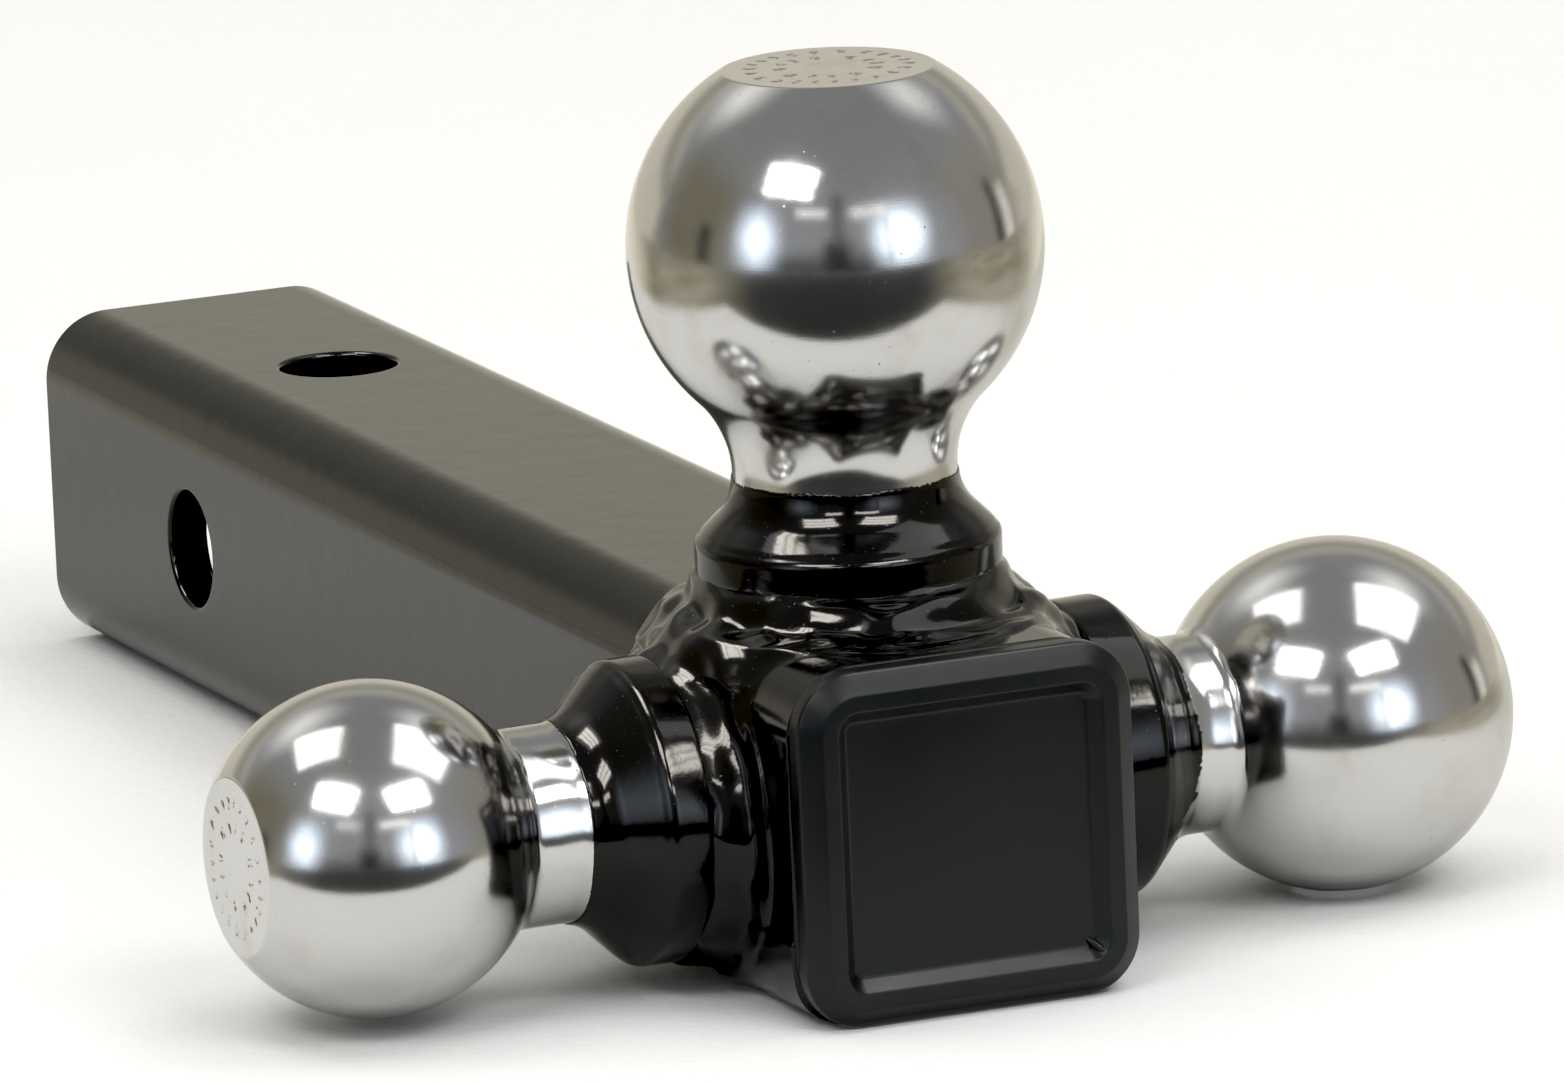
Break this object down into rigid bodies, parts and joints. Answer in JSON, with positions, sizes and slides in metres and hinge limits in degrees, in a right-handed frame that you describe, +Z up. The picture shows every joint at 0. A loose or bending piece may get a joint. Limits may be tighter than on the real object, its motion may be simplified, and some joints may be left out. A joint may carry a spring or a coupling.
{
  "type": "trailer hitch ball mount",
  "caption": "Receiver hitch ball mount: hollow square shank with crossed pin holes, tow balls of different sizes welded to its top and sides, and a moulded plug in its front end.",
  "frame": {"origin": "on the shank's underside, straight below the crossing of the three balls' axes", "axes": "+Z up along the top ball's axis, +Y along the shank towards the vehicle's receiver, +X out along the right ball's axis as seen by someone who faces the plug"},
  "size_m": [0.1921, 0.2963, 0.1278],
  "materials": {
    "black_enamel": "high-gloss black enamel sprayed over welded steel, slightly wavy, with a ragged edge on each ball's neck",
    "chrome_plate": "bright chrome plate on forged steel, turned on the balls, faintly pitted",
    "charcoal_plastic": "moulded charcoal polyethylene with a fine satin grain"
  },
  "bodies": {
    "root": {"shank_tube": "black_enamel", "tow_ball_top": "chrome_plate", "tow_ball_left": "chrome_plate", "tow_ball_right": "chrome_plate", "weld_top_front": "black_enamel", "weld_top_rear": "black_enamel", "weld_left_front": "black_enamel", "weld_left_rear": "black_enamel", "weld_right_front": "black_enamel", "weld_right_rear": "black_enamel", "end_plug": "charcoal_plastic"}
  },
  "joints": []
}
